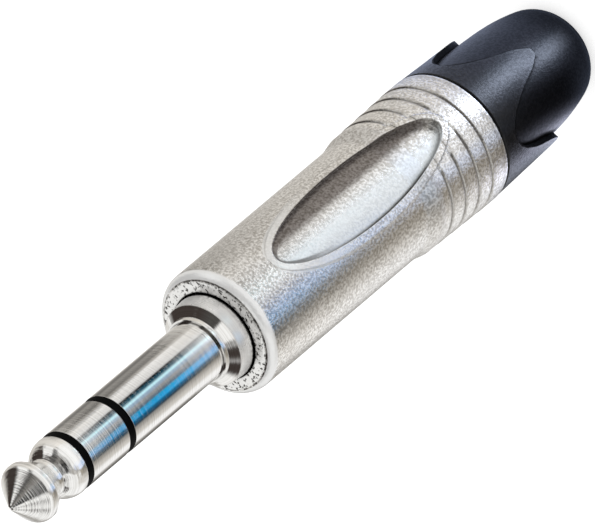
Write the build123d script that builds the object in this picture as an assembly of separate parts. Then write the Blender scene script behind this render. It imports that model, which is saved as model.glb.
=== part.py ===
from build123d import *
import math
import os

# Stereo 6.35 mm jack plug with a screw-on clamping bushing.
# Lengths in mm. The axis is Z, the boot end is Z = 0 and the tip points up.
# The oval recess of the shell faces -Y.

# Contact finger, from the tip downward.
finger_radius = 3.175
tip_contact_length = 8.15
tip_band_length = 0.95
ring_contact_length = 5.75
ring_band_length = 1.0
sleeve_length = 14.15
band_recess = 0.03

# Head of the tip contact, depths below the tip end.
nose_radius = 0.3
cone_angle = 42.5
brow_radius = 0.77
head_radius = 3.15
head_land = 0.38
neck_radius = 2.0
neck_depth = 5.3
neck_width = 0.6
bulb_depth = 8.0

# Concentric tubes inside the finger.
rod_radius = 0.95
tube_clearance = 0.02
insulator_wall = 0.43
ring_tube_wall = 0.48

# Collar of the sleeve contact.
collar_step_radius = 3.45
collar_step_height = 0.5
collar_cone_inset = 0.15
collar_cone_height = 0.65
stop_land = 0.8
collar_height = 3.0
collar_gap = 0.15
stop_flange_thickness = 1.35
boss_radius = 2.8

# Riveted stack of tags and washers.
tag_thickness = 0.5
tag_bend_radius = 0.3
tag_disc_width = 1.0

# Lug of each tag: gap between its outer face and the liner, width and length.
sleeve_lug = (0.45, 3.0, 15.5)
ring_lug = (1.0, 2.4, 10.5)
tip_lug = (1.85, 2.2, 7.5)

# Washers and rivet.
washer_thickness = 1.2
swage_height = 0.25
swage_overlap = 0.4
rivet_head_radius = 1.5
rivet_flat_radius = 0.9
rivet_head_height = 0.7
sleeve_washer_gap = 0.4
tip_washer_gap = 0.75
solder_eye_radius = 0.7

# Shell.
shell_length = 38.5
shell_bore_radius = 5.4
shell_wall = 1.32
grip_step = 0.36
grip_rise = 0.22
front_edge_round = 1.1
step_start = 25.9
step_end = 27.6
front_wall = 1.6
thread_depth = 0.5
thread_bore_length = 9.0
thread_mouth = 0.25
rear_edge = 0.15

# Grip grooves, first one measured from the shell front.
groove_start = 29.4
groove_pitch = 2.167
groove_count = 4
groove_depth = 0.13
groove_half_width = 0.16

# Oval recess with its raised lip.
oval_centre = 19.75
oval_half_length = 13.25
oval_half_width = 3.37
oval_depth = 0.45
oval_floor_rise = 0.16
lip_width = 0.85
lip_height = 0.1

# Insulating liner.
liner_clearance = 0.08
liner_wall = 0.37
key_slot_length = 8.0
key_slot_width = 2.7

# Clamping chuck.
slide_clearance = 0.1
seat_gap = 0.1
chuck_ring_height = 3.0
chuck_side_clearance = 0.3
chuck_mouth = 0.6
chuck_finger_wall = 0.95
chuck_length = 21.4
chuck_reach = 4.85
chuck_taper_length = 5.0
taper_slope = 0.12
taper_clearance = 0.08
finger_count = 4
finger_slot_width = 0.8
tooth_count = 3
tooth_start = 0.5
tooth_pitch = 2.4
tooth_height = 0.3
tongue_thickness = 0.75
tongue_length = 7.5
tongue_side_clearance = 0.15

# Bushing, from its flange face downward. The boot ends at Z = 0.
rear_length = 18.4
spigot_length = 7.5
spigot_wall = 0.65
bushing_inset = 0.04
bushing_ring_height = 1.9
bushing_edge = 0.15
cone_tube_wall = 0.55
cone_tube_reach = 6.5
lobe_length = 8.05
lobe_taper = 0.34
lobe_turn = -4.5
scallop_reach = 10.6
scallop_foot = 0.5

# Half width in degrees of the scallop between two lobes, at shares of the lobe length below its apex.
scallop_upper = [(0.06, 10.5), (0.18, 17.0), (0.4, 24.5), (0.58, 29.0)]
scallop_lower = [(0.79, 33.5), (0.92, 37.5), (0.99, 41.0), (1.02, 46.0)]

# Boot: how far its side lies inside the bushing's radius, and at which height.
dome_front_inset = 0.64
dome_middle_inset = 1.08
dome_middle_height = 7.5
dome_end_inset = 1.91
dome_end_height = 2.0
end_ring_radius = 4.05
cable_radius = 3.65

# Heights along the axis that follow from the lengths above.
bushing_face = rear_length
shell_rear = bushing_face + seat_gap
shell_front = shell_rear + shell_length
collar_top = shell_front + collar_height
sleeve_top = collar_top + sleeve_length
ring_base = sleeve_top + ring_band_length
ring_top = ring_base + ring_contact_length
tip_base = ring_top + tip_band_length
tip_top = tip_base + tip_contact_length
stop_shoulder = shell_front - front_wall
flange_base = stop_shoulder - stop_flange_thickness
sleeve_tag_base = flange_base - tag_thickness
sleeve_end = sleeve_tag_base - swage_height
ring_tag_top = sleeve_end - washer_thickness
ring_tag_base = ring_tag_top - tag_thickness
ring_end = ring_tag_base - swage_height
tip_tag_top = ring_end - washer_thickness
tip_tag_base = tip_tag_top - tag_thickness
chuck_base = bushing_face - chuck_reach
chuck_top = chuck_base + chuck_length
chuck_ring_base = chuck_top - chuck_ring_height
taper_top = chuck_base + chuck_taper_length
liner_base = chuck_top + seat_gap
scallop_apex = bushing_face - bushing_ring_height
cone_tube_end = bushing_face - cone_tube_reach
lobe_tip_height = scallop_apex - lobe_length

# Outer radii that follow from the shell's bore and wall.
shell_waist_radius = shell_bore_radius + shell_wall
shell_grip_radius = shell_waist_radius + grip_step
shell_rear_radius = shell_grip_radius + grip_rise
bushing_front_radius = shell_rear_radius - bushing_inset
lobe_tip_radius = bushing_front_radius - lobe_taper

# Radii of the concentric tubes.
tip_tube_bore = rod_radius + tube_clearance
tip_tube_radius = tip_tube_bore + insulator_wall
ring_tube_bore = tip_tube_radius + tube_clearance
ring_tube_radius = ring_tube_bore + ring_tube_wall
ring_sheath_bore = ring_tube_radius + tube_clearance
ring_sheath_radius = ring_sheath_bore + insulator_wall
sleeve_bore = ring_sheath_radius + tube_clearance
band_radius = finger_radius - band_recess
liner_radius = shell_bore_radius - liner_clearance
liner_bore = liner_radius - liner_wall
stop_flange_radius = shell_bore_radius - slide_clearance
collar_radius = shell_bore_radius - stop_land
collar_cone_radius = collar_radius - collar_cone_inset
chuck_ring_radius = shell_bore_radius - slide_clearance
thread_root_radius = shell_bore_radius + thread_depth
spigot_root_radius = thread_root_radius - thread_depth
spigot_bore_radius = spigot_root_radius - spigot_wall
cone_tube_radius = spigot_bore_radius + cone_tube_wall
chuck_finger_radius = spigot_bore_radius - chuck_side_clearance
chuck_bore_radius = chuck_finger_radius - chuck_finger_wall


def point(radius, height):
    return Vector(radius, 0, height)


def corners(*pairs):
    """Open chain of straight edges through (radius, height) corners."""
    return Polyline(*[point(radius, height) for radius, height in pairs])


def spun(*edges):
    """Solid of revolution about the axis from a closed chain of edges."""
    return revolve(make_face(list(edges)), Axis.Z)


def turned(*pairs):
    """Solid of revolution from (radius, height) corners."""
    return spun(corners(*pairs, pairs[0]))


def tube(inner, outer, low, high):
    return turned((inner, low), (outer, low), (outer, high), (inner, high))


def disc(radius, low, high):
    return turned((0, low), (radius, low), (radius, high), (0, high))


def around(body, count, first_angle=0.0):
    """Copies of a body spaced evenly about the axis."""
    return [Rot(0, 0, first_angle + 360 * index / count) * body for index in range(count)]


def tip_contact():
    top = tip_top
    slant = math.radians(cone_angle)
    nose_drop = nose_radius * math.tan(slant / 2)
    cone_radius = head_radius - brow_radius * (1 - math.sin(slant))
    cone_base = top - nose_drop - (cone_radius - nose_radius) * math.tan(slant)
    head_top = cone_base - brow_radius * math.cos(slant)
    nose = TangentArc(point(0, top), point(nose_radius, top - nose_drop), tangent=(1, 0, 0))
    cone = Line(nose @ 1, point(cone_radius, cone_base))
    brow = TangentArc(cone @ 1, point(head_radius, head_top), tangent=cone % 1)
    back = Line(brow @ 1, point(head_radius, head_top - head_land))
    slope = Line(back @ 1, point(neck_radius, top - neck_depth))
    neck = Line(slope @ 1, point(neck_radius, top - neck_depth - neck_width))
    rise = TangentArc(point(finger_radius, top - bulb_depth), neck @ 1, tangent=(0, 0, 1))
    rest = corners(
        (finger_radius, top - bulb_depth),
        (finger_radius, tip_base),
        (rod_radius, tip_base),
        (rod_radius, tip_tag_base),
        (rivet_head_radius, tip_tag_base),
        (rivet_flat_radius, tip_tag_base - rivet_head_height),
        (0, tip_tag_base - rivet_head_height),
        (0, top),
    )
    return spun(nose, cone, brow, back, slope, neck, rise, rest)


def tip_insulator():
    flange = tube(tip_tube_bore, band_radius, ring_top, tip_base)
    return flange + tube(tip_tube_bore, tip_tube_radius, ring_end, ring_top)


def ring_contact():
    band = tube(ring_tube_bore, finger_radius, ring_base, ring_top)
    stem = tube(ring_tube_bore, ring_tube_radius, ring_end, ring_base)
    swage = tube(ring_tube_bore, ring_tube_radius + swage_overlap, ring_end, ring_tag_base)
    return band + stem + swage


def ring_insulator():
    flange = tube(ring_sheath_bore, band_radius, sleeve_top, ring_base)
    return flange + tube(ring_sheath_bore, ring_sheath_radius, sleeve_end, sleeve_top)


def sleeve_contact():
    step_base = collar_top - collar_step_height
    cone_base = step_base - collar_cone_height
    return turned(
        (sleeve_bore, sleeve_top),
        (finger_radius, sleeve_top),
        (finger_radius, collar_top),
        (collar_step_radius, collar_top),
        (collar_step_radius, step_base),
        (collar_cone_radius, cone_base),
        (collar_radius, shell_front),
        (collar_radius, stop_shoulder),
        (stop_flange_radius, stop_shoulder),
        (stop_flange_radius, flange_base),
        (boss_radius, flange_base),
        (boss_radius, sleeve_tag_base),
        (boss_radius + swage_overlap, sleeve_tag_base),
        (boss_radius + swage_overlap, sleeve_end),
        (sleeve_bore, sleeve_end),
    )


def lug_reach(lug):
    """Distance of a lug's outer face from the axis."""
    return liner_bore - lug[0]


def solder_tag(hole, top, lug, angle):
    """Pressed tag: a pierced disc with one lug folded down."""
    reach = lug_reach(lug)
    width, length = lug[1:]
    base = top - tag_thickness
    turn = tag_bend_radius + tag_thickness
    sheet = [
        (0, top),
        (reach - turn, top),
        (reach, top - turn),
        (reach, top - length),
        (reach - tag_thickness, top - length),
        (reach - tag_thickness, top - turn),
        (reach - turn, base),
        (0, base),
    ]
    points = [point(radius, height) for radius, height in sheet]
    bend = math.sqrt(0.5)
    outer_mid = point(reach - turn + turn * bend, top - turn + turn * bend)
    inner_mid = point(reach - turn + tag_bend_radius * bend, top - turn + tag_bend_radius * bend)
    edges = [
        Line(points[0], points[1]),
        ThreePointArc(points[1], outer_mid, points[2]),
        Polyline(points[2], points[3], points[4], points[5]),
        ThreePointArc(points[5], inner_mid, points[6]),
        Polyline(points[6], points[7], points[0]),
    ]
    lug = extrude(make_face(edges), amount=width / 2, dir=(0, 1, 0), both=True)
    tag = lug + disc(hole + tag_disc_width, base, top)
    tag -= disc(hole, base, top)
    eye_height = top - length + 2 * solder_eye_radius
    eye = Pos(reach, 0, eye_height) * Rot(0, 90, 0) * Cylinder(solder_eye_radius, 4 * tag_thickness)
    return Rot(0, 0, angle) * (tag - eye)


def sleeve_tag():
    return solder_tag(boss_radius, flange_base, sleeve_lug, 90)


def ring_tag():
    return solder_tag(ring_tube_radius, ring_tag_top, ring_lug, 210)


def tip_tag():
    return solder_tag(rod_radius, tip_tag_top, tip_lug, 330)


def ring_washer():
    rim = lug_reach(sleeve_lug) - tag_thickness - sleeve_washer_gap
    return tube(ring_tube_radius + tube_clearance, rim, ring_tag_top, sleeve_end)


def tip_washer():
    rim = lug_reach(ring_lug) - tag_thickness - tip_washer_gap
    return tube(rod_radius + tube_clearance, rim, tip_tag_top, ring_end)


def land_radius(index):
    """Outer radius of the plain land above a groove; the last one reaches the rear edge."""
    return shell_grip_radius + index * grip_rise / groove_count


def groove_height(index):
    return shell_front - groove_start - index * groove_pitch


def shell_form(offset):
    """Solid inside the plain outer surface, moved outward by an offset."""
    waist_radius = shell_waist_radius + offset
    rim_start = point(waist_radius - front_edge_round, shell_front)
    rim_end = point(waist_radius, shell_front - front_edge_round)
    rim = TangentArc(rim_start, rim_end, tangent=(1, 0, 0))
    lands = [
        (waist_radius, shell_front - front_edge_round),
        (waist_radius, shell_front - step_start),
        (shell_grip_radius + offset, shell_front - step_end),
    ]
    for index in range(groove_count):
        lands.append((land_radius(index) + offset, groove_height(index)))
        lands.append((land_radius(index + 1) + offset, groove_height(index)))
    rest = corners(
        *lands,
        (shell_rear_radius + offset, shell_rear + rear_edge),
        (shell_rear_radius + offset - rear_edge, shell_rear),
        (0, shell_rear),
        (0, shell_front),
        (waist_radius - front_edge_round, shell_front),
    )
    return spun(rim, rest)


def oval_prism(margin):
    """Upright oval bar through the -Y side of the shell wall."""
    height = shell_front - oval_centre
    outline = Ellipse(oval_half_width + margin, oval_half_length + margin)
    return extrude(Plane.XZ * Pos(0, height) * outline, amount=2 * shell_rear_radius)


def recess_floor():
    """Slightly conical bar whose side is the floor of the oval recess."""
    radius = shell_waist_radius - oval_depth
    middle = shell_front - oval_centre
    low = middle - oval_half_length
    high = middle + oval_half_length
    return turned((0, low), (radius + oval_floor_rise, low), (radius, high), (0, high))


def groove_cutter(index):
    height = groove_height(index)
    floor = land_radius(index) - groove_depth
    reach = land_radius(index + 1) + groove_depth
    return turned(
        (floor, height),
        (land_radius(index), height + groove_half_width),
        (reach, height + groove_half_width),
        (reach, height - groove_half_width),
        (land_radius(index + 1), height - groove_half_width),
    )


def shell_cavity():
    thread_top = shell_rear + thread_bore_length
    return turned(
        (0, shell_front),
        (collar_radius + collar_gap, shell_front),
        (collar_radius + collar_gap, stop_shoulder),
        (shell_bore_radius, stop_shoulder),
        (shell_bore_radius, thread_top),
        (thread_root_radius, thread_top),
        (thread_root_radius, shell_rear + thread_mouth),
        (thread_root_radius + thread_mouth, shell_rear),
        (0, shell_rear),
    )


def shell():
    body = shell_form(0)
    lip_area = oval_prism(lip_width)
    for index in range(groove_count):
        body -= groove_cutter(index) - lip_area
    body += shell_form(lip_height) & lip_area
    body -= oval_prism(0) - recess_floor()
    return body - shell_cavity()


def insulating_liner():
    body = tube(liner_bore, liner_radius, liner_base, flange_base)
    slot_centre = liner_base + key_slot_length / 2
    slot = Pos(0, 0, slot_centre) * Box(4 * liner_radius, key_slot_width, key_slot_length)
    return body - slot


def chuck_form():
    """Plain turned form of the chuck with its gripping teeth."""
    outer = [
        (chuck_bore_radius + chuck_mouth, chuck_top),
        (chuck_ring_radius, chuck_top),
        (chuck_ring_radius, chuck_ring_base),
        (chuck_finger_radius, chuck_ring_base),
        (chuck_finger_radius, taper_top),
        (chuck_finger_radius - taper_slope * chuck_taper_length, chuck_base),
        (chuck_bore_radius, chuck_base),
    ]
    teeth = []
    for index in range(tooth_count):
        low = chuck_base + tooth_start + index * tooth_pitch
        teeth.append((chuck_bore_radius, low))
        teeth.append((chuck_bore_radius - tooth_height, low + 0.3 * tooth_pitch))
        teeth.append((chuck_bore_radius, low + 0.9 * tooth_pitch))
    inner = [(chuck_bore_radius, chuck_ring_base)]
    return turned(*(outer + teeth + inner))


def clamp_chuck():
    body = chuck_form()
    slot_height = chuck_ring_base - chuck_base
    slot = Pos(chuck_finger_radius, 0, chuck_base + slot_height / 2) * Box(
        2 * chuck_finger_radius, finger_slot_width, slot_height
    )
    for cutter in around(slot, finger_count, 30):
        body -= cutter
    width = key_slot_width - 2 * tongue_side_clearance
    blade_height = tongue_length + chuck_ring_height
    blade = Pos(chuck_ring_radius, 0, chuck_ring_base + blade_height / 2) * Box(
        2 * tongue_thickness, width, blade_height
    )
    ring_zone = tube(0, chuck_ring_radius, chuck_ring_base, chuck_top + tongue_length)
    for tongue in around(blade & ring_zone, 2):
        body += tongue
    return body


def lobe_radius(height):
    share = (bushing_face - height) / (bushing_face - lobe_tip_height)
    return bushing_front_radius + share * (lobe_tip_radius - bushing_front_radius)


def dome_form():
    """Solid inside the boot's outer surface, down to its flat end ring."""
    side = Line(
        point(bushing_front_radius - dome_front_inset, scallop_apex),
        point(bushing_front_radius - dome_middle_inset, dome_middle_height),
    )
    dome_end = point(bushing_front_radius - dome_end_inset, dome_end_height)
    dome = TangentArc(side @ 1, dome_end, tangent=side % 1)
    end = TangentArc(dome @ 1, point(end_ring_radius, 0), tangent=dome % 1)
    return spun(side, dome, end, Polyline(end @ 1, point(0, 0), point(0, scallop_apex), side @ 0))


def scallop_arch(reach):
    """Pointed arch standing at a distance from the axis, between two lobes."""
    side = []
    for share, angle in scallop_upper + scallop_lower:
        side.append((reach * math.tan(math.radians(angle)), scallop_apex - share * lobe_length))
    left = [Vector(reach, -across, height) for across, height in reversed(side)]
    right = [Vector(reach, across, height) for across, height in side]
    arch = Spline(*left, Vector(reach, 0, scallop_apex), *right)
    foot = Vector(0, 0, scallop_foot)
    return make_face([arch, Polyline(arch @ 1, arch @ 1 - foot, arch @ 0 - foot, arch @ 0)])


def scallop_cutter():
    """Arch widening with the distance from the axis, so that its walls are radial."""
    return loft([scallop_arch(scallop_reach / 4), scallop_arch(scallop_reach)], ruled=True)


def lobes():
    """Four pointed lobes standing on the boot below the flange ring."""
    shroud = turned(
        (0, scallop_apex),
        (lobe_radius(scallop_apex), scallop_apex),
        (lobe_tip_radius, lobe_tip_height),
        (0, lobe_tip_height),
    )
    shroud -= dome_form()
    for cutter in around(scallop_cutter(), 4, 45 + lobe_turn):
        shroud -= cutter
    return shroud


def bushing():
    cone_top = taper_top + (spigot_bore_radius - chuck_finger_radius - taper_clearance) / taper_slope
    cone_end_radius = spigot_bore_radius - taper_slope * (cone_top - cone_tube_end)
    core = turned(
        (spigot_bore_radius, bushing_face + spigot_length),
        (spigot_root_radius - bushing_edge, bushing_face + spigot_length),
        (spigot_root_radius, bushing_face + spigot_length - bushing_edge),
        (spigot_root_radius, bushing_face),
        (bushing_front_radius - bushing_edge, bushing_face),
        (bushing_front_radius, bushing_face - bushing_edge),
        (lobe_radius(scallop_apex), scallop_apex),
        (cone_tube_radius, scallop_apex),
        (cone_tube_radius, cone_tube_end),
        (cone_end_radius, cone_tube_end),
        (spigot_bore_radius, cone_top),
    )
    return core + lobes()


def boot():
    body = dome_form() - disc(cable_radius, 0, cone_tube_end)
    return body - disc(cone_tube_radius, cone_tube_end, scallop_apex)


def single(shape):
    """The one solid of a shape, cleaned."""
    solids = shape.clean().solids()
    if len(solids) != 1:
        raise ValueError("expected one solid, got %d" % len(solids))
    return solids[0]


nodes = {
    "tip_contact": tip_contact,
    "tip_insulator": tip_insulator,
    "ring_contact": ring_contact,
    "ring_insulator": ring_insulator,
    "sleeve_contact": sleeve_contact,
    "sleeve_tag": sleeve_tag,
    "ring_washer": ring_washer,
    "ring_tag": ring_tag,
    "tip_washer": tip_washer,
    "tip_tag": tip_tag,
    "shell": shell,
    "insulating_liner": insulating_liner,
    "clamp_chuck": clamp_chuck,
    "bushing": bushing,
    "boot": boot,
}

os.makedirs("parts", exist_ok=True)
for name, make in nodes.items():
    export_step(single(make()), "parts/%s.step" % name)
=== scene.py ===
import math

import bmesh
import bpy
from mathutils import Matrix, Vector


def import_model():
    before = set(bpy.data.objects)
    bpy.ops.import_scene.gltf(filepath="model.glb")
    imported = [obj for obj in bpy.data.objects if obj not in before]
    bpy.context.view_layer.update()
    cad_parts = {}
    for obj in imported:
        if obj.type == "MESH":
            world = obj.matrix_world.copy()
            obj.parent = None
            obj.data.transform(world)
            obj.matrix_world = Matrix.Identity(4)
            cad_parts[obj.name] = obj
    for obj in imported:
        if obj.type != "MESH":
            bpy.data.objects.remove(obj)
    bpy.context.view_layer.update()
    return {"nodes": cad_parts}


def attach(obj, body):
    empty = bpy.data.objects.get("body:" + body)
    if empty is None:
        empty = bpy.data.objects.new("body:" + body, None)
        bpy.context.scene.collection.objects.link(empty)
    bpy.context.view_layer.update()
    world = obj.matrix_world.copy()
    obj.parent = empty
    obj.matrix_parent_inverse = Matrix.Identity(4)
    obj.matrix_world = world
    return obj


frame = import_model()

MM = 0.001

# Thread between bushing and shell: pitch in mm, and length over which a ridge runs out, in turns.
THREAD_PITCH = 1.25
THREAD_RUNOUT = 0.5
# Root and crest radii of the thread's two halves and heights of their ends, in mm.
SPIGOT_ROOT = 5.38
SPIGOT_CREST = 5.78
SPIGOT_THREAD = (18.9, 25.3)
SHELL_ROOT = 5.92
SHELL_CREST = 5.5
SHELL_THREAD = (19.3, 27.0)
# Width of a ridge at its foot and at its top, in mm, and steps in which it is spun, to the turn.
RIDGE_FOOT = 0.95
RIDGE_TOP = 0.25
RIDGE_STEPS = 48

# Shell, in mm: heights of its rear and front, radius of its waist, and rounding of its front edge.
SHELL_REAR = 18.5
SHELL_FRONT = 57.0
WAIST_RADIUS = 6.72
FRONT_ROUND = 1.1
# Heights, in mm, between which the shell widens from its waist to its grip, with a little to spare.
SHELL_FLARE = (28.7, 31.3)

# Grip of the shell, in mm: height of its first groove, pitch and radius there, rise towards the rear.
GROOVE_HEIGHT = 27.6
GROOVE_PITCH = 2.167
GRIP_RADIUS = 7.08
GRIP_RISE = 0.22
# Depth of a groove's floor below the lands, and reach of the painted shade on the strip beside a groove,
# in mm.
GROOVE_FLOOR = (0.06, 0.24)
GROOVE_SIDE_SHADE = (0.12, 0.55)

# Contact finger, in mm: heights of the shadow at its collar's foot, of the collar and of the tip's bulb.
COLLAR_FOOT = (56.0, 57.25)
COLLAR = (57.3, 60.2)
BULB = (81.7, 84.6)
# Radius, in mm, outside which the collar is duller than the finger.
COLLAR_INSIDE = (4.35, 4.42)

# Oval recess of the shell, in mm: height of its centre, half its length and width.
OVAL_HEIGHT = 37.25
OVAL_HALF_LENGTH = 13.25
OVAL_HALF_WIDTH = 3.37
# Y, in metres, over which the marks of the recess fade out towards the shell's back.
OVAL_SIDE = (-0.004, -0.002)

# Lobes of the bushing: heights of their tips and of the tops of the scallops between them, in mm.
LOBE_TIP = 8.45
SCALLOP_APEX = 16.5
# Azimuth of one lobe and half the angle between lobes, in degrees.
LOBE_AZIMUTH = -94.5
HALF_LOBE_PITCH = 45.0
# Half a lobe's width in degrees, at shares of the way from its tip to the scallops' tops.
LOBE_SHAPE = [
    (0.0, 3.5), (0.08, 7.5), (0.21, 11.5), (0.42, 16.0), (0.60, 20.5),
    (0.82, 28.0), (0.94, 34.5), (0.985, 39.5), (1.0, HALF_LOBE_PITCH),
]
# Distances in mm from a lobe's outline: where the seam's shadow sets in on the lobe and fades beside
# it, and the strip of the lobe that is worn shiny.
SEAM_ON_LOBE = (-0.10, -0.02)
SEAM_BESIDE = (0.12, 0.65)
WORN_EDGE = (-0.36, -0.12)

# Camera: width of the picture and focal length in pixels, film width in mm, place in metres.
PICTURE_WIDTH = 595
FOCAL_LENGTH = 16020
FILM_WIDTH = 36.0
CAMERA_PLACE = Vector((-0.29934, -1.11719, 1.04576))
CAMERA_RIGHT = Vector((-0.75283, -0.31622, -0.57726))
CAMERA_UP = Vector((0.62843, -0.60605, -0.48760))
# Azimuth of the object's side that faces the camera.
CAMERA_SIDE = math.radians(-105)

# Colours of the metal's painted highlight and painted shade, then of the studio's cards and flags.
PAINTED_HIGHLIGHT = (0.97, 0.97, 0.96)
PAINTED_SHADE_COLOUR = (0.07, 0.06, 0.05)
WHITE = (1.0, 1.0, 1.0)
BLACK = (0.0, 0.0, 0.0)
BROWN = (0.05, 0.04, 0.036)
PALE_BLUE = (0.62, 0.98, 1.1)
CLEAR_BLUE = (0.03, 0.42, 0.86)
DEEP_BLUE = (0.01, 0.14, 0.30)
SKY_BLUE = (0.01, 0.33, 1.1)
NIGHT_BLUE = (0.16, 0.19, 0.27)

# Rings of cards on the floor, at distances from the axis in metres over which each one sets in.
BOOT_RING = (0.006, 0.012)
LOBE_RING = (0.0140, 0.0165)
GRIP_RING = (0.022, 0.028)
WAIST_RING = (0.056, 0.067)
COLLAR_RING = (0.0697, 0.0704)
FINGER_RING = (0.0747, 0.0755)
CONTACT_RING = (0.0880, 0.0890)
TIP_RING = (0.099, 0.103)
# Turn of the cards that the boot's dome shows against those of the lobes, as a share of the circle.
DOME_TURN = 11 / 360

# Floor: half its side in metres, its colour, and the glow that makes it white to the camera.
FLOOR_HALF = 3.0
FLOOR_WHITE = (0.82, 0.82, 0.82)
FLOOR_GLOW = 0.62

# White studio that reflections see, and the even light that everything else gets.
STUDIO_WHITE = (0.96, 0.96, 0.95)
EVEN_LIGHT = (0.8, 0.8, 0.8)


def place_camera():
    """Camera at the photograph's viewing angle."""
    data = bpy.data.cameras.new("camera")
    data.sensor_width = FILM_WIDTH
    data.lens = FOCAL_LENGTH * FILM_WIDTH / PICTURE_WIDTH
    data.clip_start = 0.1
    data.clip_end = 20.0
    camera = bpy.data.objects.new("camera", data)
    bpy.context.scene.collection.objects.link(camera)
    back = CAMERA_RIGHT.cross(CAMERA_UP)
    turn = Matrix((CAMERA_RIGHT, CAMERA_UP, back)).transposed().to_4x4()
    camera.matrix_world = Matrix.Translation(CAMERA_PLACE) @ turn
    bpy.context.scene.camera = camera


# Node helpers.
class Tree:
    """Adds and links shader nodes by short calls."""

    def __init__(self, tree):
        self.tree = tree
        self.tree.nodes.clear()

    def add(self, kind, settings=None, **sockets):
        node = self.tree.nodes.new(kind)
        for key, value in (settings or {}).items():
            setattr(node, key, value)
        for key, value in sockets.items():
            self.feed(node.inputs[key.replace("_", " ")], value)
        return node

    def feed(self, socket, value):
        if isinstance(value, bpy.types.NodeSocket):
            self.tree.links.new(value, socket)
        else:
            socket.default_value = value

    def maths(self, operation, first, second=0.0, clamp=False):
        node = self.add("ShaderNodeMath", {"operation": operation, "use_clamp": clamp})
        self.feed(node.inputs[0], first)
        self.feed(node.inputs[1], second)
        return node.outputs[0]

    def plus(self, first, second):
        return self.maths("ADD", first, second)

    def times(self, first, second):
        return self.maths("MULTIPLY", first, second)

    def either(self, first, second):
        """The larger of two masks."""
        return self.maths("MAXIMUM", first, second)

    def outside(self, mask):
        """1 where a mask is 0, and the other way round."""
        return self.maths("SUBTRACT", 1.0, mask)

    def parts(self, vector):
        """The three coordinates of a vector."""
        return self.add("ShaderNodeSeparateXYZ", None, Vector=vector).outputs

    def square(self, value):
        return self.times(value, value)

    def length(self, x, y):
        return self.maths("SQRT", self.plus(self.square(x), self.square(y)))

    def spread(self, value, low, high, to_low=0.0, to_high=1.0):
        """Smooth course from one value to another between two limits."""
        node = self.add("ShaderNodeMapRange", {"interpolation_type": "SMOOTHSTEP"})
        self.feed(node.inputs["Value"], value)
        self.feed(node.inputs["From Min"], low)
        self.feed(node.inputs["From Max"], high)
        self.feed(node.inputs["To Min"], to_low)
        self.feed(node.inputs["To Max"], to_high)
        return node.outputs["Result"]

    def window(self, value, low, high, soft):
        """1 between two limits and 0 outside them, with soft ends."""
        begun = self.spread(value, low - soft, low + soft)
        return self.times(begun, self.spread(value, high - soft, high + soft, 1.0, 0.0))

    def mix(self, share, first, second):
        """Mix of two colours, each a socket or red, green and blue."""
        node = self.add("ShaderNodeMix", {"data_type": "RGBA"})
        self.feed(node.inputs["Factor"], share)
        for name, colour in (("A", first), ("B", second)):
            self.feed(node.inputs[name], (*colour, 1.0) if isinstance(colour, tuple) else colour)
        return node.outputs["Result"]

    def noise(self, vector, scale, detail=2.0, roughness=0.5):
        node = self.add("ShaderNodeTexNoise", None, Scale=scale, Detail=detail, Roughness=roughness)
        self.feed(node.inputs["Vector"], vector)
        return node.outputs["Fac"]

    def ramp(self, value, stops, course="EASE"):
        node = self.add("ShaderNodeValToRGB")
        self.feed(node.inputs["Fac"], value)
        node.color_ramp.interpolation = course
        elements = node.color_ramp.elements
        elements[0].position, elements[0].color = stops[0][0], (*stops[0][1], 1.0)
        elements[1].position, elements[1].color = stops[-1][0], (*stops[-1][1], 1.0)
        for position, colour in stops[1:-1]:
            elements.new(position).color = (*colour, 1.0)
        return node.outputs["Color"]

    def group(self, group, **sockets):
        node = self.add("ShaderNodeGroup", {"node_tree": group}, **sockets)
        return node.outputs


def new_group(name, inputs, outputs):
    """Empty node group and its tree, the inputs given to it and the outputs to be made."""
    group = bpy.data.node_groups.new(name, "ShaderNodeTree")
    tree = Tree(group)
    for socket, kind, value in inputs:
        made = group.interface.new_socket(socket, in_out="INPUT", socket_type=kind)
        if value is not None:
            made.default_value = value
    for socket, kind in outputs:
        group.interface.new_socket(socket, in_out="OUTPUT", socket_type=kind)
    return group, tree, tree.add("NodeGroupInput").outputs, tree.add("NodeGroupOutput").inputs


def grain_group():
    """Blasted or spark-eroded grain: its height, its brighter specks and broad clouds."""
    group, tree, given, made = new_group(
        "surface grain",
        [("Place", "NodeSocketVector", None), ("Scale", "NodeSocketFloat", 4000.0)],
        [("Height", "NodeSocketFloat"), ("Speck", "NodeSocketFloat"), ("Cloud", "NodeSocketFloat")],
    )
    coarse = tree.noise(given["Place"], given["Scale"], 2.0, 0.6)
    fine = tree.noise(given["Place"], tree.times(given["Scale"], 2.7), 2.0, 0.6)
    tree.feed(made["Height"], tree.plus(coarse, tree.times(fine, 0.45)))
    tree.feed(made["Speck"], tree.spread(coarse, 0.36, 0.64))
    tree.feed(made["Cloud"], tree.noise(given["Place"], tree.times(given["Scale"], 0.06), 3.0))
    return group


def axis_group():
    """Distance from the object's axis, in mm, height, in mm, and turning marks made from both."""
    group, tree, given, made = new_group(
        "about the axis",
        [("Place", "NodeSocketVector", None), ("Scale", "NodeSocketFloat", 5.0)],
        [("Radius", "NodeSocketFloat"), ("Height", "NodeSocketFloat"), ("Marks", "NodeSocketFloat")],
    )
    x, y, z = tree.parts(given["Place"])
    radius = tree.maths("DIVIDE", tree.length(x, y), MM)
    height = tree.maths("DIVIDE", z, MM)
    spot = tree.add("ShaderNodeCombineXYZ", None, X=radius, Z=height).outputs[0]
    tree.feed(made["Radius"], radius)
    tree.feed(made["Height"], height)
    tree.feed(made["Marks"], tree.noise(spot, given["Scale"], 3.0, 0.65))
    return group


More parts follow.
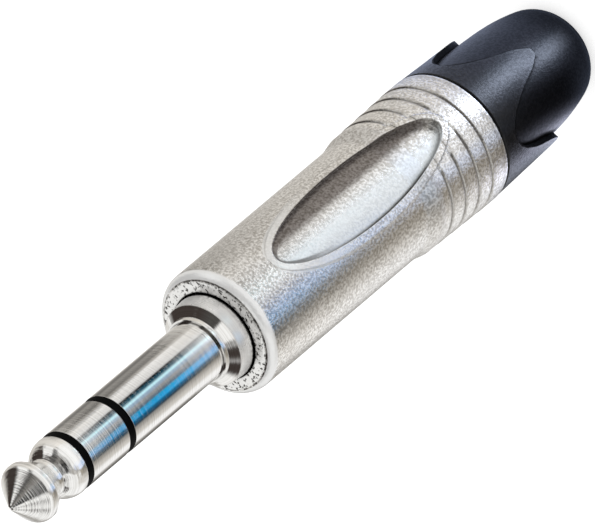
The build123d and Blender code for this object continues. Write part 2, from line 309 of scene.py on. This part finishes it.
def lobe_group():
    """Distance in mm from the outline of the nearest lobe, below 0 on the lobe."""
    group, tree, given, made = new_group(
        "lobe outline", [("Place", "NodeSocketVector", None)], [("Distance", "NodeSocketFloat")]
    )
    x, y, z = tree.parts(given["Place"])
    azimuth = tree.maths("DIVIDE", tree.maths("ARCTAN2", y, x), math.pi / 180)
    aside = tree.maths("PINGPONG", tree.maths("SUBTRACT", azimuth, LOBE_AZIMUTH), HALF_LOBE_PITCH)
    above = tree.maths("SUBTRACT", tree.maths("DIVIDE", z, MM), LOBE_TIP)
    share = tree.maths("DIVIDE", above, SCALLOP_APEX - LOBE_TIP, True)
    stops = [(place, 3 * (width / HALF_LOBE_PITCH,)) for place, width in LOBE_SHAPE]
    half = tree.times(tree.ramp(share, stops, "LINEAR"), HALF_LOBE_PITCH)
    along = tree.times(tree.maths("SUBTRACT", aside, half), GRIP_RADIUS * math.pi / 180)
    high = tree.maths("SUBTRACT", SCALLOP_APEX - LOBE_TIP, above)
    outline = tree.maths("MINIMUM", along, high)
    tree.feed(made["Distance"], tree.either(outline, tree.times(above, -1.0)))
    return group


def crevice_shade_group():
    """Painted shade in seams, grooves and inner corners, from ambient occlusion up to a reach in mm: 1
    deep inside, 0 in the open.

    Least and Most are the openness up to which the painted shade is full and from which there is none.
    """
    group, tree, given, made = new_group(
        "painted crevice shade",
        [
            ("Reach", "NodeSocketFloat", 0.5),
            ("Least", "NodeSocketFloat", 0.35),
            ("Most", "NodeSocketFloat", 0.95),
        ],
        [("Shade", "NodeSocketFloat")],
    )
    reach = tree.times(given["Reach"], MM)
    opening = tree.add("ShaderNodeAmbientOcclusion", {"samples": 8}, Distance=reach).outputs["AO"]
    tree.feed(made["Shade"], tree.spread(opening, given["Least"], given["Most"], 1.0, 0.0))
    return group


def oval_group():
    """Oval recess: painted shade on its side and front end, painted highlights on its floor and lip, and
    the lip's foot.

    The distance is in mm from the edge of the recess, below 0 inside it.
    """
    group, tree, given, made = new_group(
        "oval recess",
        [("Place", "NodeSocketVector", None)],
        [(name, "NodeSocketFloat") for name in ("Shadow", "End", "Floor", "Lip", "Foot")],
    )
    x, y, z = tree.parts(given["Place"])
    across = tree.maths("DIVIDE", x, MM)
    along = tree.maths("SUBTRACT", tree.maths("DIVIDE", z, MM), OVAL_HEIGHT)
    wide = tree.square(tree.maths("DIVIDE", across, OVAL_HALF_WIDTH))
    long = tree.square(tree.maths("DIVIDE", along, OVAL_HALF_LENGTH))
    level = tree.maths("SUBTRACT", tree.plus(wide, long), 1.0)
    steep = tree.plus(
        tree.maths("DIVIDE", wide, OVAL_HALF_WIDTH ** 2),
        tree.maths("DIVIDE", long, OVAL_HALF_LENGTH ** 2),
    )
    slope = tree.either(tree.times(tree.maths("SQRT", steep), 2.0), 0.02)
    distance = tree.maths("DIVIDE", level, slope)
    facing = tree.spread(y, *OVAL_SIDE, 1.0, 0.0)
    inside = tree.times(facing, tree.spread(distance, 0.02, 0.08, 1.0, 0.0))
    near_end = tree.times(tree.spread(distance, -0.9, -0.6), tree.spread(along, 5.0, 11.0, 0.0, 0.75))
    lip = tree.times(tree.window(distance, 0.10, 0.80, 0.06), tree.spread(along, 2.0, 9.0))
    tree.feed(made["Shadow"], tree.times(inside, tree.spread(across, 0.4, 1.5)))
    tree.feed(made["End"], tree.times(inside, near_end))
    tree.feed(made["Floor"], tree.times(inside, tree.spread(across, -1.2, 0.8, 1.0, 0.0)))
    tree.feed(made["Lip"], tree.times(facing, lip))
    tree.feed(made["Foot"], tree.times(facing, tree.window(distance, 0.60, 1.10, 0.10)))
    return group


def new_material(name):
    material = bpy.data.materials.new(name)
    material.use_nodes = True
    return material, Tree(material.node_tree)


def finish_surface(tree, bump, strength, depth, edge, **sockets):
    """Principled surface with relief of a depth in mm, its sharp edges rounded by a radius in mm."""
    rounded = tree.add("ShaderNodeBevel", {"samples": 6}, Radius=tree.times(edge, MM))
    relief = tree.add("ShaderNodeBump", None, Strength=strength, Distance=depth * MM)
    tree.feed(relief.inputs["Height"], bump)
    tree.feed(relief.inputs["Normal"], rounded.outputs["Normal"])
    surface = tree.add("ShaderNodeBsdfPrincipled", None, Normal=relief.outputs["Normal"], **sockets)
    tree.feed(surface.inputs["Coat Normal"], relief.outputs["Normal"])
    output = tree.add("ShaderNodeOutputMaterial")
    tree.feed(output.inputs["Surface"], surface.outputs[0])


def object_place(tree):
    return tree.add("ShaderNodeTexCoord").outputs["Object"]


def groove_shade(tree, radius, height):
    """Painted shade of the grip grooves: 1 in their floors, less on the strips beside them, 0 elsewhere.
    """
    below = tree.maths("DIVIDE", tree.maths("SUBTRACT", GROOVE_HEIGHT, height), GROOVE_PITCH)
    land = tree.plus(GRIP_RADIUS + 0.03, tree.times(below, GRIP_RISE / 4))
    depth = tree.maths("SUBTRACT", land, radius)
    floor_part = tree.window(depth, *GROOVE_FLOOR, 0.04)
    turn = tree.maths("SUBTRACT", tree.maths("FRACT", tree.plus(below, 0.5)), 0.5)
    beside = tree.times(tree.maths("ABSOLUTE", turn), GROOVE_PITCH)
    edge_strip = tree.times(tree.spread(beside, *GROOVE_SIDE_SHADE, 0.5, 0.0), tree.spread(depth, 0.2, 0.3, 1.0, 0.0))
    shade = tree.either(floor_part, edge_strip)
    return tree.times(shade, tree.window(height, SHELL_REAR + 0.3, GROOVE_HEIGHT + 0.3, 0.2))


def front_finish(tree, radius, height, specks):
    """Shares of the shell's front: its rim, which gets a painted highlight, the dark line inside it, and
    pits in its face.
    """
    top = tree.spread(height, SHELL_FRONT - FRONT_ROUND, SHELL_FRONT - 0.7 * FRONT_ROUND)
    line = WAIST_RADIUS - 0.62 * FRONT_ROUND
    rim = tree.times(top, tree.spread(radius, line, line + 0.08))
    dark = tree.times(top, tree.window(radius, line - 0.15, line + 0.02, 0.05))
    dark = tree.times(dark, tree.spread(specks, 0.60, 0.40))
    face = tree.times(top, tree.spread(radius, line - 0.2, line - 0.1, 1.0, 0.0))
    pits = tree.times(face, tree.spread(specks, 0.36, 0.46, 1.0, 0.0))
    return rim, dark, face, pits


def satin_nickel(grain, axis, crevice_shade, oval):
    """Blasted and plated casting: strong sparkle, a painted highlight on the front rim, painted shade in
    grooves and corners.
    """
    material, tree = new_material("satin_nickel")
    place = object_place(tree)
    relief, speck, cloud = tree.group(grain, Place=place, Scale=3700.0)
    radius, level, _ = tree.group(axis, Place=place)
    shadow, end, bright, lip, foot = tree.group(oval, Place=place)
    specks = tree.noise(place, 2800.0, 2.0, 0.6)
    rim, dark, face, pits = front_finish(tree, radius, level, specks)
    tone = tree.mix(speck, (0.54, 0.52, 0.49), (1.0, 0.99, 0.97))
    tone = tree.mix(tree.spread(cloud, 0.35, 0.75, 0.0, 0.3), tone, (0.83, 0.815, 0.79))
    # Painted highlight on the rounded front rim, nearly white.
    tone = tree.mix(rim, tone, PAINTED_HIGHLIGHT)
    tone = tree.mix(face, tone, (0.95, 0.945, 0.93))
    tone = tree.mix(tree.either(dark, pits), tone, (0.05, 0.045, 0.04))
    # Painted shade in the grip grooves and beside them, except on the recess's lip and its foot.
    open_lip = tree.outside(tree.either(lip, foot))
    grooves = tree.times(groove_shade(tree, radius, level), open_lip)
    tone = tree.mix(grooves, tone, (0.42, 0.40, 0.37))
    # Painted highlights: a white one on the recess's lip, then a pale blue one on its floor.
    tone = tree.mix(tree.times(lip, 0.7), tone, PAINTED_HIGHLIGHT)
    tone = tree.mix(tree.times(bright, 0.6), tone, (0.88, 0.95, 1.0))
    # Painted shade in one dark brown: crevices found by ambient occlusion, outside the recess's painted
    # shadow and the lip's foot, weaker over the grip, and the recess's front end.
    outside_shadow_and_foot = tree.outside(tree.either(shadow, foot))
    painted_shade = tree.times(tree.group(crevice_shade, Reach=0.55)[0], outside_shadow_and_foot)
    painted_shade = tree.times(painted_shade, tree.spread(level, GROOVE_HEIGHT + 0.4, GROOVE_HEIGHT + 0.8, 0.6, 1.0))
    tone = tree.mix(tree.either(painted_shade, end), tone, PAINTED_SHADE_COLOUR)
    # Painted shadow on one side of the recess, in a speckled brown.
    shaded = tree.mix(speck, (0.13, 0.11, 0.095), (0.30, 0.27, 0.25))
    tone = tree.mix(shadow, tone, shaded)
    # Less metal under the painted highlights, on the face, and in the recess's painted shade.
    light = tree.either(tree.either(face, lip), bright)
    painted_highlight_and_face = tree.either(rim, tree.times(light, 0.5))
    dull = tree.either(painted_highlight_and_face, tree.either(shadow, end))
    metal = tree.outside(tree.times(dull, 0.7))
    rough = tree.plus(0.16, tree.times(speck, 0.08))
    rough = tree.plus(rough, tree.times(tree.window(level, *SHELL_FLARE, 0.4), 0.2))
    edge = tree.plus(0.10, tree.times(foot, 0.3))
    finish_surface(tree, relief, 0.65, 0.045, edge, Base_Color=tone, Metallic=metal, Roughness=rough)
    return material


def turned_nickel(name, grain, axis, crevice_shade, dark, strength, depth, dents=0.0):
    """Turned and plated brass: fine turning marks over a mirror finish, duller on the collar."""
    material, tree = new_material(name)
    place = object_place(tree)
    _, _, cloud = tree.group(grain, Place=place, Scale=6000.0)
    radius, level, marks = tree.group(axis, Place=place, Scale=6.0)
    tone = tree.mix(tree.spread(marks, 0.3, 0.7), dark, (0.97, 0.965, 0.95))
    # Painted shade in crevices.
    tone = tree.mix(tree.group(crevice_shade, Reach=0.3)[0], tone, (0.10, 0.09, 0.08))
    wide = tree.spread(radius, *COLLAR_INSIDE)
    collar = tree.times(tree.window(level, *COLLAR, 0.1), wide)
    # Painted shadow at the foot of the collar.
    tone = tree.mix(tree.times(tree.window(level, *COLLAR_FOOT, 0.1), wide), tone, (0.03, 0.03, 0.03))
    metal = tree.outside(tree.times(collar, 0.55))
    rough = tree.plus(0.04, tree.times(cloud, 0.07))
    rough = tree.plus(rough, tree.times(collar, 0.2))
    bulb = tree.times(tree.window(level, *BULB, 0.2), dents)
    relief = tree.plus(marks, tree.times(tree.noise(place, 1100.0, 1.0), bulb))
    finish_surface(tree, relief, strength, depth, 0.05, Base_Color=tone, Metallic=metal, Roughness=rough)
    return material


def moulded(name, grain, dark, light, scale, **sockets):
    """Moulded plastic with an eroded grain."""
    material, tree = new_material(name)
    height, speck, cloud = tree.group(grain, Place=object_place(tree), Scale=scale)
    tone = tree.mix(tree.times(tree.plus(cloud, speck), 0.5), dark, light)
    finish_surface(tree, height, 0.2, 0.030, 0.08, Base_Color=tone, **sockets)
    return material


def grained_black(name, grain, crevice_shade, lobes, gloss, strength, shine):
    """Blue-black grained plastic or rubber: painted shade and no sheen in the seams and crevices, more
    sheen on the lobes' worn edges.
    """
    material, tree = new_material(name)
    place = object_place(tree)
    height, speck, _ = tree.group(grain, Place=place, Scale=3600.0)
    tone = tree.mix(speck, (0.001, 0.001, 0.002), (0.004, 0.004, 0.006))
    distance = tree.group(lobes, Place=place)[0]
    # Painted shade along the lobes' outlines and in crevices: darker colour and no sheen there.
    seam = tree.times(tree.spread(distance, *SEAM_ON_LOBE), tree.spread(distance, *SEAM_BESIDE, 1.0, 0.0))
    edge_strip = tree.window(distance, *WORN_EDGE, 0.06)
    painted_shade = tree.either(seam, tree.group(crevice_shade, Reach=1.2, Least=0.45, Most=0.97)[0])
    tone = tree.mix(painted_shade, tone, (0.001, 0.001, 0.001))
    sheen = tree.plus(tree.spread(speck, 0.0, 1.0, 0.6 * shine, 0.85 * shine), tree.times(edge_strip, 0.15))
    sheen = tree.times(tree.outside(painted_shade), sheen)
    finish_surface(
        tree, height, strength, 0.040, 0.12, Base_Color=tone, Roughness=0.6, Specular_IOR_Level=0.1,
        Coat_Weight=sheen, Coat_Roughness=gloss,
    )
    return material


def tinned(grain):
    """Pressed brass with a dull tin plate."""
    material, tree = new_material("dull_tin")
    height, speck, cloud = tree.group(grain, Place=object_place(tree), Scale=3000.0)
    tone = tree.mix(cloud, (0.58, 0.57, 0.54), (0.74, 0.73, 0.70))
    rough = tree.plus(0.30, tree.times(speck, 0.15))
    finish_surface(tree, height, 0.3, 0.015, 0.05, Base_Color=tone, Metallic=1.0, Roughness=rough)
    return material


def dress():
    """Gives every node its material and returns those that the threads use."""
    grain = grain_group()
    axis = axis_group()
    crevice_shade = crevice_shade_group()
    shell = satin_nickel(grain, axis, crevice_shade, oval_group())
    contact = turned_nickel("polished_nickel", grain, axis, crevice_shade, (0.80, 0.785, 0.76), 0.2, 0.03)
    tip = turned_nickel("turned_nickel", grain, axis, crevice_shade, (0.78, 0.77, 0.75), 0.85, 0.032, 3.0)
    tag = tinned(grain)
    insulator = moulded(
        "insulator_black", grain, (0.0005, 0.0005, 0.0006), (0.001, 0.001, 0.0012), 6000.0,
        Roughness=0.6, Specular_IOR_Level=0.05,
    )
    liner = moulded("liner_black", grain, (0.02, 0.02, 0.022), (0.04, 0.04, 0.045), 5000.0, Roughness=0.45)
    chuck = moulded("acetal_grey", grain, (0.50, 0.50, 0.48), (0.60, 0.60, 0.58), 5000.0, Roughness=0.45)
    lobes = lobe_group()
    bushing = grained_black("bushing_plastic", grain, crevice_shade, lobes, 0.27, 0.45, 1.0)
    boot = grained_black("boot_rubber", grain, crevice_shade, lobes, 0.28, 0.55, 0.8)
    looks = {
        "tip_contact": tip,
        "ring_contact": contact,
        "sleeve_contact": contact,
        "tip_insulator": insulator,
        "ring_insulator": insulator,
        "ring_washer": insulator,
        "tip_washer": insulator,
        "sleeve_tag": tag,
        "ring_tag": tag,
        "tip_tag": tag,
        "shell": shell,
        "insulating_liner": liner,
        "clamp_chuck": chuck,
        "bushing": bushing,
        "boot": boot,
    }
    for node, material in looks.items():
        for slot in frame["nodes"][node].material_slots:
            slot.material = material
    return shell, bushing


def ridge(name, root, crest, ends, phase, material, body):
    """Right-handed thread ridge from its root radius to its crest, tapered out at both ends."""
    low, high = ends
    turns = (high - low) / THREAD_PITCH
    steps = round(RIDGE_STEPS * turns)
    shape = bmesh.new()
    section = [(root, -RIDGE_FOOT), (crest, -RIDGE_TOP), (crest, RIDGE_TOP), (root, RIDGE_FOOT)]
    corners = [shape.verts.new((radius * MM, 0, (low + side / 2) * MM)) for radius, side in section]
    edges = [shape.edges.new((first, second)) for first, second in zip(corners, corners[1:] + corners[:1])]
    rise = Vector((0, 0, (high - low) / steps * MM))
    bmesh.ops.spin(
        shape, geom=corners + edges, cent=(0, 0, 0), axis=(0, 0, 1), dvec=rise,
        angle=2 * math.pi * turns, steps=steps, use_merge=False,
    )
    for vertex in shape.verts:
        end = min(vertex.co.z / MM - low, high - vertex.co.z / MM) + RIDGE_FOOT / 2
        share = min(1.0, max(0.05, end / (THREAD_RUNOUT * THREAD_PITCH)))
        radius = vertex.co.xy.length / MM
        vertex.co.xy *= (root + (radius - root) * share) / radius
    bmesh.ops.holes_fill(shape, edges=[edge for edge in shape.edges if edge.is_boundary], sides=4)
    start = Matrix.Rotation(2 * math.pi * phase, 3, "Z")
    bmesh.ops.rotate(shape, verts=shape.verts, cent=(0, 0, 0), matrix=start)
    bmesh.ops.recalc_face_normals(shape, faces=shape.faces)
    mesh = bpy.data.meshes.new(name)
    shape.to_mesh(mesh)
    shape.free()
    mesh.materials.append(material)
    piece = bpy.data.objects.new(name, mesh)
    bpy.context.scene.collection.objects.link(piece)
    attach(piece, body)


def threads(shell_material, bushing_material):
    """The two halves of the screw thread, half a pitch apart."""
    offset = (SHELL_THREAD[0] - SPIGOT_THREAD[0]) / THREAD_PITCH
    ridge("spigot_thread", SPIGOT_ROOT, SPIGOT_CREST, SPIGOT_THREAD, 0.0, bushing_material, "rear_bushing")
    ridge("shell_thread", SHELL_ROOT, SHELL_CREST, SHELL_THREAD, offset + 0.5, shell_material, "housing")


# Studio.
def turn_about_axis(tree, x, y):
    """Place round the object's axis, 0 to 1 over the circle, 0.5 towards the camera."""
    ahead = tree.plus(tree.times(x, math.cos(CAMERA_SIDE)), tree.times(y, math.sin(CAMERA_SIDE)))
    aside = tree.plus(tree.times(x, math.sin(CAMERA_SIDE)), tree.times(y, -math.cos(CAMERA_SIDE)))
    return tree.plus(tree.maths("DIVIDE", tree.maths("ARCTAN2", aside, ahead), 2 * math.pi), 0.5)


def share_of_turn(degrees):
    """Place round the axis, as turn_about_axis gives it, of an azimuth from the camera's side."""
    return 0.5 + degrees / 360


def grey(level, warmth=0.1):
    """Grey of a given level, from which warmth takes some green and more blue."""
    return (level, level * (1 - 0.4 * warmth), level * (1 - warmth))


def sectors(tree, turn, stops):
    """Colours round the axis, at degrees from the camera's side."""
    return tree.ramp(turn, [(share_of_turn(degrees), colour) for degrees, colour in stops])


def finger_cards(tree, turn):
    """Cards that the contact finger shows."""
    return sectors(tree, turn, [
        (-180, grey(0.80)),
        (-160, grey(0.70)),
        (-149, grey(0.40)),
        (-138, grey(0.21)),
        (-128, grey(0.19)),
        (-114, grey(0.30)),
        (-92, grey(0.22)),
        (-80, grey(0.48)),
        (-72, grey(0.93, 0.02)),
        (-44, grey(0.76, 0.02)),
        (-38, grey(0.62, 0.0)),
        (-33, BLACK),
        (-21, (0.02, 0.09, 0.14)),
        (-10, PALE_BLUE),
        (-2, (0.32, 0.45, 0.60)),
        (10, grey(0.31, -0.05)),
        (22, (0.12, 0.17, 0.22)),
        (30, (0.03, 0.42, 0.78)),
        (41, CLEAR_BLUE),
        (49, DEEP_BLUE),
        (60, (0.03, 0.06, 0.09)),
        (70, grey(0.36)),
        (90, grey(0.64)),
        (108, WHITE),
        (122, WHITE),
        (136, grey(0.33)),
        (150, grey(0.15)),
        (170, grey(0.15)),
        (180, grey(0.80)),
    ])


def front_cards(tree, turn):
    """Cards that the front half of the shell shows."""
    return sectors(tree, turn, [
        (-180, WHITE),
        (-154, grey(0.60)),
        (-132, grey(0.42)),
        (-80, grey(0.46)),
        (-56, grey(0.50)),
        (-38, grey(0.74, 0.05)),
        (-20, (1.8, 1.8, 1.8)),
        (-4, (1.85, 1.85, 1.95)),
        (9, (0.34, 0.30, 0.33)),
        (21, SKY_BLUE),
        (31, (0.0, 0.22, 0.84)),
        (40, grey(0.10, 0.4)),
        (60, grey(0.16, 0.4)),
        (76, grey(0.50)),
        (100, grey(0.95)),
        (120, grey(0.95)),
        (142, grey(0.40)),
        (162, grey(0.50)),
        (180, WHITE),
    ])


def rear_cards(tree, turn):
    """Cards that the rear half of the shell and the collar show."""
    return sectors(tree, turn, [
        (-180, WHITE),
        (-150, grey(0.66)),
        (-84, grey(0.74)),
        (-60, grey(0.86)),
        (-38, WHITE),
        (22, WHITE),
        (38, (0.80, 0.88, 1.08)),
        (52, grey(0.38, 0.25)),
        (66, grey(0.36, 0.2)),
        (84, grey(0.66)),
        (112, WHITE),
        (130, WHITE),
        (156, grey(0.38)),
        (180, WHITE),
    ])


def boot_cards(tree, turn):
    """Brighter cards, which the black boot and bushing show faintly."""
    return sectors(tree, turn, [
        (-180, NIGHT_BLUE),
        (-120, (0.7, 0.8, 1.1)),
        (-60, (0.65, 0.75, 1.08)),
        (-42, (0.9, 1.0, 1.4)),
        (-31, (1.5, 1.8, 2.4)),
        (-21, (7.0, 8.0, 10.2)),
        (-10, (7.0, 8.0, 10.2)),
        (1, (1.2, 1.4, 1.9)),
        (14, (0.25, 0.28, 0.4)),
        (26, BLACK),
        (66, BLACK),
        (84, (0.5, 0.53, 0.70)),
        (102, (2.2, 2.3, 2.9)),
        (118, (1.2, 1.3, 1.6)),
        (134, (0.30, 0.32, 0.38)),
        (152, (0.12, 0.12, 0.14)),
        (180, NIGHT_BLUE),
    ])


def darker_card(tree, turn, start, stop, share):
    """Share of black between two azimuths in degrees from the camera's side."""
    return tree.times(tree.window(turn, share_of_turn(start), share_of_turn(stop), 4 / 360), share)


def cards(tree, x, y):
    """White, grey, black and blue cards laid in rings round the object, which the metal shows."""
    reach = tree.length(x, y)
    turn = turn_about_axis(tree, x, y)
    dome = boot_cards(tree, tree.maths("SUBTRACT", turn, DOME_TURN))
    boot = tree.mix(tree.spread(reach, *LOBE_RING), dome, boot_cards(tree, turn))
    rear = rear_cards(tree, turn)
    tone = tree.mix(tree.spread(reach, *BOOT_RING), NIGHT_BLUE, boot)
    tone = tree.mix(tree.spread(reach, *GRIP_RING), tone, rear)
    tone = tree.mix(tree.spread(reach, *WAIST_RING), tone, front_cards(tree, turn))
    tone = tree.mix(tree.spread(reach, *COLLAR_RING), tone, rear)
    tone = tree.mix(tree.spread(reach, *FINGER_RING), tone, finger_cards(tree, turn))
    shade = tree.either(darker_card(tree, turn, 22, 54, 0.36), darker_card(tree, turn, -92, -66, 0.44))
    tone = tree.mix(tree.times(tree.spread(reach, *CONTACT_RING), shade), tone, BLACK)
    return tree.mix(tree.spread(reach, *TIP_RING), tone, rear)


def floor():
    """White floor, which metal and plastic see with the cards on it."""
    mesh = bpy.data.meshes.new("floor")
    grid = bmesh.new()
    bmesh.ops.create_grid(grid, x_segments=1, y_segments=1, size=FLOOR_HALF)
    grid.to_mesh(mesh)
    grid.free()
    plane = bpy.data.objects.new("floor", mesh)
    bpy.context.scene.collection.objects.link(plane)
    material, tree = new_material("floor_white")
    x, y, _ = tree.parts(object_place(tree))
    seen = tree.add("ShaderNodeEmission", None, Color=cards(tree, x, y))
    rays = tree.add("ShaderNodeLightPath")
    matt = tree.add("ShaderNodeBsdfDiffuse", None, Color=(*FLOOR_WHITE, 1.0))
    glow = tree.add("ShaderNodeEmission", None, Color=(*WHITE, 1.0))
    tree.feed(glow.inputs["Strength"], tree.times(rays.outputs["Is Camera Ray"], FLOOR_GLOW))
    both = tree.add("ShaderNodeAddShader")
    tree.feed(both.inputs[0], matt.outputs[0])
    tree.feed(both.inputs[1], glow.outputs[0])
    surface = tree.add("ShaderNodeMixShader")
    tree.feed(surface.inputs[0], rays.outputs["Is Glossy Ray"])
    tree.feed(surface.inputs[1], both.outputs[0])
    tree.feed(surface.inputs[2], seen.outputs[0])
    output = tree.add("ShaderNodeOutputMaterial")
    tree.feed(output.inputs["Surface"], surface.outputs[0])
    mesh.materials.append(material)


# Flags hung in the white studio, from the first to the last laid over the others: azimuths from the
# camera's side and elevations, both in degrees, colour, and softness of the edges in degrees.
FLAGS = [
    ((-150, -100), (-8, 60), BROWN, 5),
    ((-112, -60), (43, 68), BROWN, 5),
    ((-60, -48), (6, 58), grey(0.06), 5),
    ((-54, 46), (30, 62), grey(0.01), 8),
    ((-46, -8), (30, 62), grey(0.26), 8),
    ((74, 112), (43, 68), BROWN, 8),
    ((108, 150), (24, 64), BROWN, 5),
    ((36, 52), (-5, 30), grey(0.45), 8),
    ((60, 185), (62, 95), grey(0.10), 8),
    ((-185, -30), (58, 95), grey(0.07), 8),
]


def world():
    """White studio, with the dark flags that polished faces pointing upward show."""
    sky = bpy.data.worlds.new("studio")
    bpy.context.scene.world = sky
    sky.use_nodes = True
    tree = Tree(sky.node_tree)
    way = tree.add("ShaderNodeTexCoord").outputs["Generated"]
    x, y, z = tree.parts(way)
    turn = turn_about_axis(tree, x, y)
    rise = tree.maths("DIVIDE", tree.maths("ARCSINE", z), math.pi / 180)
    tone = STUDIO_WHITE
    for (left, right), (low, high), colour, soft in FLAGS:
        across = tree.window(turn, share_of_turn(left), share_of_turn(right), soft / 360)
        tone = tree.mix(tree.times(across, tree.window(rise, low, high, soft)), tone, colour)
    rays = tree.add("ShaderNodeLightPath")
    tone = tree.mix(rays.outputs["Is Glossy Ray"], EVEN_LIGHT, tone)
    tone = tree.mix(rays.outputs["Is Camera Ray"], tone, WHITE)
    background = tree.add("ShaderNodeBackground", None, Color=tone, Strength=1.0)
    output = tree.add("ShaderNodeOutputWorld")
    tree.feed(output.inputs["Surface"], background.outputs[0])


place_camera()
threads(*dress())
floor()
world()

view_settings = bpy.context.scene.view_settings
view_settings.view_transform = "Standard"
